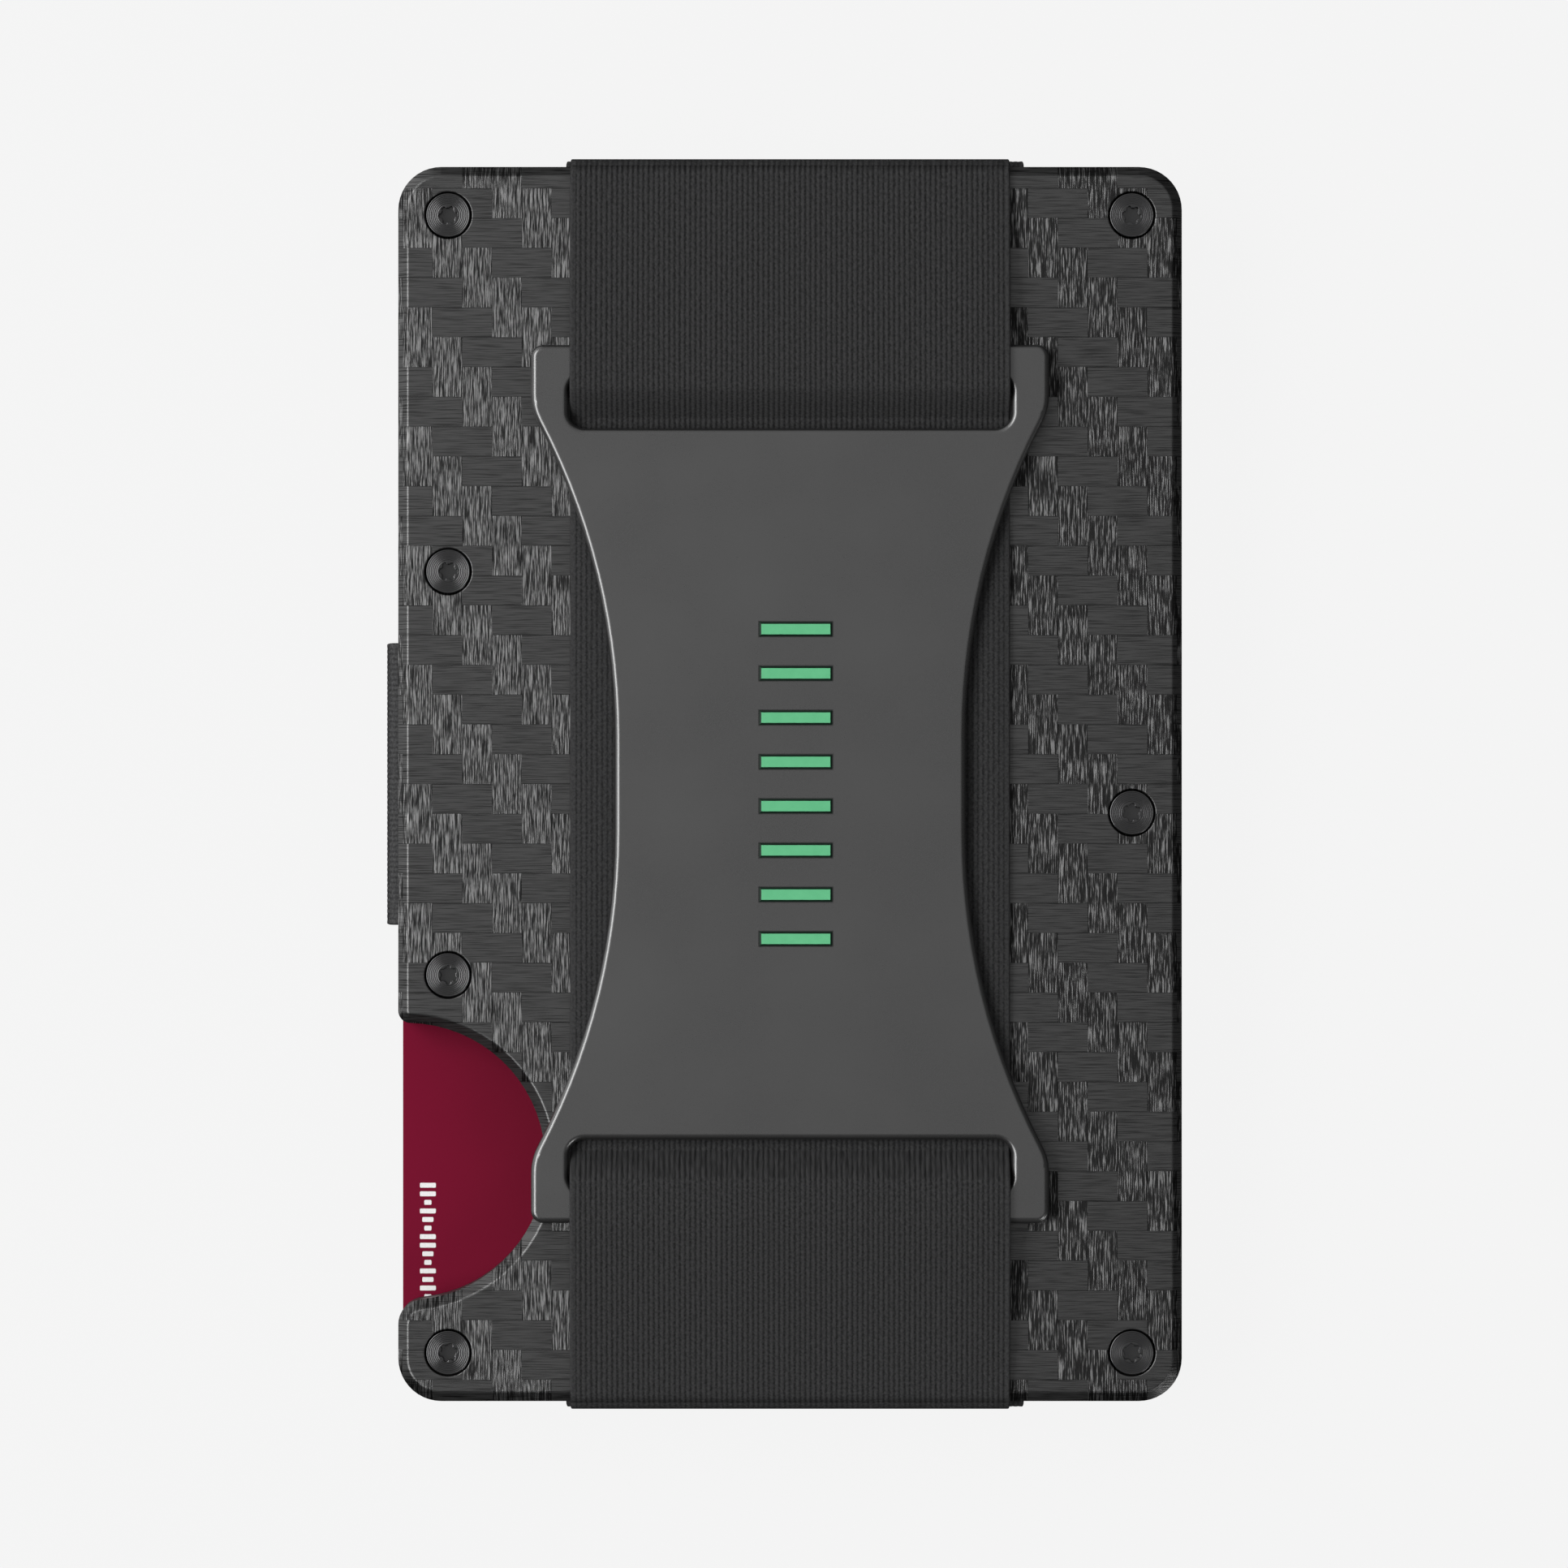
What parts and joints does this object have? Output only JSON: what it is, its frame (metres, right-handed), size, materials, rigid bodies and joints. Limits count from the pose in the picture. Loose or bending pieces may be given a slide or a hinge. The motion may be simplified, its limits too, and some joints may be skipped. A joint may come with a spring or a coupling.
{
  "type": "minimalist wallet",
  "caption": "Slim card wallet: two bevelled plates held by elastic bands, with a thumb notch and an elastic cash strap under a waisted metal buckle plate.",
  "frame": {"origin": "centre of the back cover's outer face, on which the wallet lies", "axes": "+Z out through the front cover towards the buckle, +Y along the long side, +X towards the open long side where the cards slide out; the thumb notch is at -X, -Y"},
  "size_m": [0.0555, 0.087, 0.0113],
  "materials": {
    "carbon_weave": "2/2 twill carbon fibre laminate under a satin clear coat, bevelled edges",
    "spacer_sheet": "matt black glass-filled sheet",
    "liner_metal": "black anodised, fine grain",
    "anchor_steel": "bare brushed",
    "screw_steel": "dark oxide with fine turning rings",
    "elastic_band": "black knitted elastic, fine ribs",
    "elastic_strap": "black ribbed elastic webbing",
    "buckle_metal": "satin dark grey coating, softly rounded edges",
    "inlay_enamel": "green enamel, bevelled rims",
    "card_grey": "satin laminated card",
    "card_blue": "satin laminated card",
    "card_red": null
  },
  "bodies": {
    "back_half": {"back_cover": "carbon_weave", "back_right_spacer": "spacer_sheet", "back_upper_spacer": "spacer_sheet", "back_lower_spacer": "spacer_sheet", "back_liner": "liner_metal", "back_band_anchor": "anchor_steel", "back_screws": "screw_steel", "end_band": "elastic_band", "side_band": "elastic_band"},
    "front_half": {"front_cover": "carbon_weave", "front_right_spacer": "spacer_sheet", "front_upper_spacer": "spacer_sheet", "front_lower_spacer": "spacer_sheet", "front_liner": "liner_metal", "front_band_anchor": "anchor_steel", "front_screws": "screw_steel", "cash_strap": "elastic_strap"},
    "buckle": {"buckle_plate": "buckle_metal", "buckle_inlays": "inlay_enamel"},
    "bottom_card": {"card_bottom": "card_grey"},
    "middle_card": {"card_middle": "card_blue"},
    "top_card": {"card_top": "card_red"}
  },
  "joints": [
    {"name": "expand", "type": "slide", "parent": "back_half", "child": "front_half", "axis": [0, 0, 1], "range_m": [0, 0.007], "stiffness_N_per_m": 1200, "springref_m": -0.003, "deforming": ["end_band", "side_band"]},
    {"name": "cash_lift", "type": "slide", "parent": "front_half", "child": "buckle", "axis": [0, 0, 1], "range_m": [0, 0.004], "stiffness_N_per_m": 500, "springref_m": -0.002, "deforming": ["cash_strap"]},
    {"name": "card_bottom_slide", "type": "slide", "parent": "back_half", "child": "bottom_card", "axis": [1, 0, 0], "range_m": [0, 0.054]},
    {"name": "card_middle_slide", "type": "slide", "parent": "back_half", "child": "middle_card", "axis": [1, 0, 0], "range_m": [0, 0.054]},
    {"name": "card_top_slide", "type": "slide", "parent": "back_half", "child": "top_card", "axis": [1, 0, 0], "range_m": [0, 0.054]}
  ]
}
